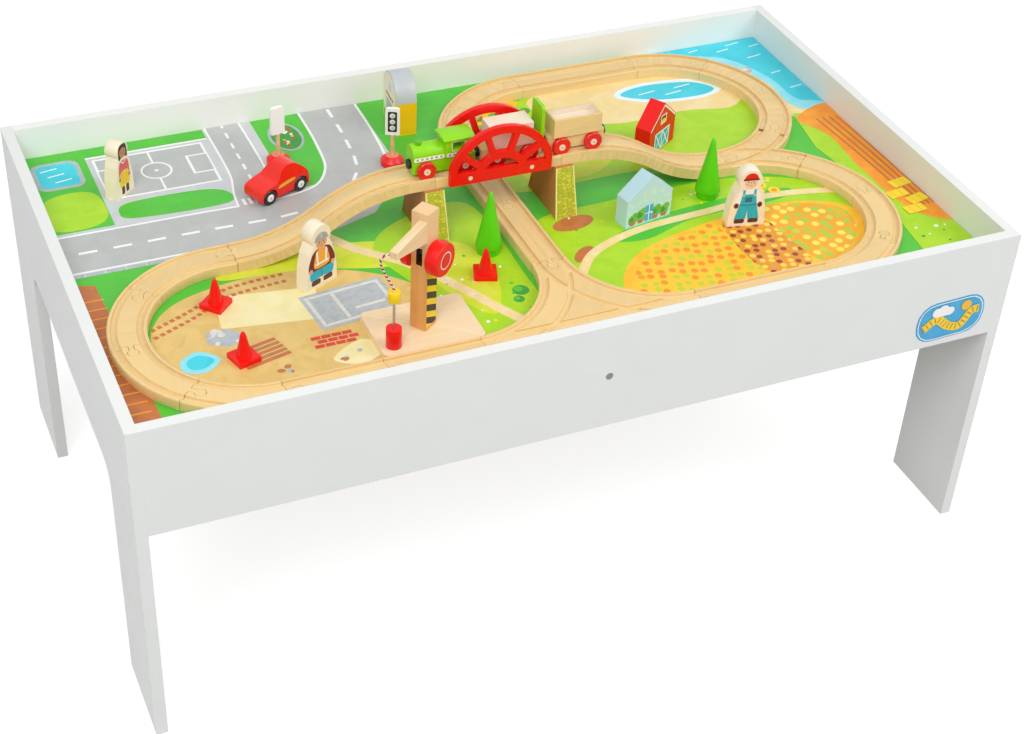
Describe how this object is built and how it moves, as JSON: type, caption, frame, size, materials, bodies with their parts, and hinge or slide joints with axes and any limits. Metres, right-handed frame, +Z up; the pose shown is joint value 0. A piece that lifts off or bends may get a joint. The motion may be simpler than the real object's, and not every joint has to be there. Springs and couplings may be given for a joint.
{
  "type": "train table",
  "caption": "White board table with a recessed printed playboard that carries a wooden railway, an arched bridge, a rolling train, a swivelling winch crane, a car and scenery.",
  "frame": {"origin": "on the floor under the middle of the table", "axes": "+X along the table to the right, -Y towards the front, +Z up"},
  "size_m": [0.98, 0.572, 0.5115],
  "materials": {
    "white_board": "satin white laminate",
    "play_print": "gloss printed board",
    "pine": "sawn",
    "steel": "plated",
    "beech": "sanded beech",
    "mast_wood": "sanded, striped paint on one face",
    "red_paint": "gloss paint",
    "white_paint": "satin paint",
    "brick_print": "printed wood",
    "loco_green": "gloss paint",
    "dark_green": "gloss paint",
    "leaf_green": "gloss paint",
    "magnet": "black",
    "wheel_red": "moulded",
    "axle_steel": "drawn",
    "string": "braided red and white",
    "yellow_paint": "gloss paint",
    "car_wheel": "moulded",
    "pale_blue": "satin paint",
    "cream": "printed wood"
  },
  "bodies": {
    "table": {"end_panel_left": "white_board", "end_panel_right": "white_board", "front_apron": "white_board", "back_apron": "white_board", "playboard": "play_print", "centre_rail": "pine", "cleats": "pine", "panel_bolts": "steel", "barrel_nuts": "steel", "rail_screws": "steel", "left_curves": "beech", "right_curves": "beech", "back_curves": "beech", "straights": "beech", "front_wye": "beech", "right_wye": "beech", "ramp_left": "beech", "ramp_right": "beech", "bridge_deck": "beech", "bridge_side_front": "red_paint", "bridge_side_back": "red_paint", "bridge_pins": "white_paint", "bridge_piers": "brick_print", "crane_base": "beech", "cones": "red_paint", "trees": "leaf_green", "blue_house": "pale_blue", "red_house": "red_paint", "depot": "yellow_paint", "signs": "white_paint", "figures": "cream"},
    "locomotive": {"loco_chassis": "loco_green", "loco_boiler": "loco_green", "loco_cab": "loco_green", "loco_roof": "loco_green", "loco_chimney": "dark_green", "loco_magnets": "magnet"},
    "truck": {"truck_bed": "beech", "truck_end_board": "leaf_green", "truck_magnets": "magnet"},
    "wagon": {"wagon_chassis": "beech", "wagon_box": "beech", "wagon_magnets": "magnet"},
    "car": {"car_body": "red_paint"},
    "crane_head": {"crane_mast": "mast_wood", "crane_jib": "beech", "hoist_string": "string"},
    "winch": {"winch_axle": "axle_steel", "winch_knobs": "red_paint"},
    "hoist": {"hoist_toggle": "yellow_paint", "crane_load": "red_paint", "load_pin": "steel"},
    "loco_front_axle": {"loco_wheels_front": "wheel_red"},
    "loco_rear_axle": {"loco_wheels_rear": "wheel_red"},
    "truck_front_axle": {"truck_wheels_front": "wheel_red"},
    "truck_rear_axle": {"truck_wheels_rear": "wheel_red"},
    "wagon_front_axle": {"wagon_wheels_front": "wheel_red"},
    "wagon_rear_axle": {"wagon_wheels_rear": "wheel_red"},
    "car_front_axle": {"car_wheels_front": "car_wheel"},
    "car_rear_axle": {"car_wheels_rear": "car_wheel"}
  },
  "joints": [
    {"name": "locomotive_roll", "type": "slide", "parent": "table", "child": "locomotive", "axis": [1, 0, 0], "range_m": [-0.03, 0.006]},
    {"name": "loco_front_axle_turn", "type": "hinge", "parent": "locomotive", "child": "loco_front_axle", "pos_m": [-0.095, -0.002, 0.4433], "axis": [0, 1, 0], "range_deg": [-176, 42]},
    {"name": "loco_rear_axle_turn", "type": "hinge", "parent": "locomotive", "child": "loco_rear_axle", "pos_m": [-0.051, -0.002, 0.4433], "axis": [0, 1, 0], "range_deg": [-176, 42]},
    {"name": "truck_roll", "type": "slide", "parent": "table", "child": "truck", "axis": [1, 0, 0], "range_m": [-0.03, 0.006]},
    {"name": "truck_front_axle_turn", "type": "hinge", "parent": "truck", "child": "truck_front_axle", "pos_m": [-0.0137, -0.002, 0.4433], "axis": [0, 1, 0], "range_deg": [-176, 42]},
    {"name": "truck_rear_axle_turn", "type": "hinge", "parent": "truck", "child": "truck_rear_axle", "pos_m": [0.0243, -0.002, 0.4433], "axis": [0, 1, 0], "range_deg": [-176, 42]},
    {"name": "wagon_roll", "type": "slide", "parent": "table", "child": "wagon", "axis": [1, 0, 0], "range_m": [-0.03, 0.006]},
    {"name": "wagon_front_axle_turn", "type": "hinge", "parent": "wagon", "child": "wagon_front_axle", "pos_m": [0.0631, -0.002, 0.4433], "axis": [0, 1, 0], "range_deg": [-176, 42]},
    {"name": "wagon_rear_axle_turn", "type": "hinge", "parent": "wagon", "child": "wagon_rear_axle", "pos_m": [0.1011, -0.002, 0.4433], "axis": [0, 1, 0], "range_deg": [-176, 42]},
    {"name": "car_roll", "type": "slide", "parent": "table", "child": "car", "axis": [0.9205, 0.3907, 0], "range_m": [-0.05, 0.05]},
    {"name": "car_front_axle_turn", "type": "hinge", "parent": "car", "child": "car_front_axle", "pos_m": [-0.24231, 0.10496, 0.3748], "axis": [-0.3907, 0.9205, 0], "range_deg": [-333, 333]},
    {"name": "car_rear_axle_turn", "type": "hinge", "parent": "car", "child": "car_rear_axle", "pos_m": [-0.20181, 0.12215, 0.3748], "axis": [-0.3907, 0.9205, 0], "range_deg": [-333, 333]},
    {"name": "crane_swivel", "type": "hinge", "parent": "table", "child": "crane_head", "pos_m": [-0.162, -0.181, 0.3735], "axis": [0, 0, 1], "range_deg": [-150, 0]},
    {"name": "winch_turn", "type": "hinge", "parent": "crane_head", "child": "winch", "pos_m": [-0.162, -0.181, 0.4605], "axis": [0.5878, -0.809, 0], "range_deg": [0, 400]},
    {"name": "hoist_lift", "type": "slide", "parent": "crane_head", "child": "hoist", "axis": [0, 0, 1], "range_m": [0, 0.03], "deforming": ["hoist_string"]}
  ],
  "couplings": [
    {"joint": "loco_front_axle_turn", "follows": "locomotive_roll", "rad_per_m": 95.238},
    {"joint": "loco_rear_axle_turn", "follows": "locomotive_roll", "rad_per_m": 95.238},
    {"joint": "truck_roll", "follows": "locomotive_roll", "ratio": 1},
    {"joint": "truck_front_axle_turn", "follows": "locomotive_roll", "rad_per_m": 95.238},
    {"joint": "truck_rear_axle_turn", "follows": "locomotive_roll", "rad_per_m": 95.238},
    {"joint": "wagon_roll", "follows": "locomotive_roll", "ratio": 1},
    {"joint": "wagon_front_axle_turn", "follows": "locomotive_roll", "rad_per_m": 95.238},
    {"joint": "wagon_rear_axle_turn", "follows": "locomotive_roll", "rad_per_m": 95.238},
    {"joint": "car_front_axle_turn", "follows": "car_roll", "rad_per_m": 111.11},
    {"joint": "car_rear_axle_turn", "follows": "car_roll", "rad_per_m": 111.11},
    {"joint": "hoist_lift", "follows": "winch_turn", "m_per_rad": 0.0042}
  ]
}
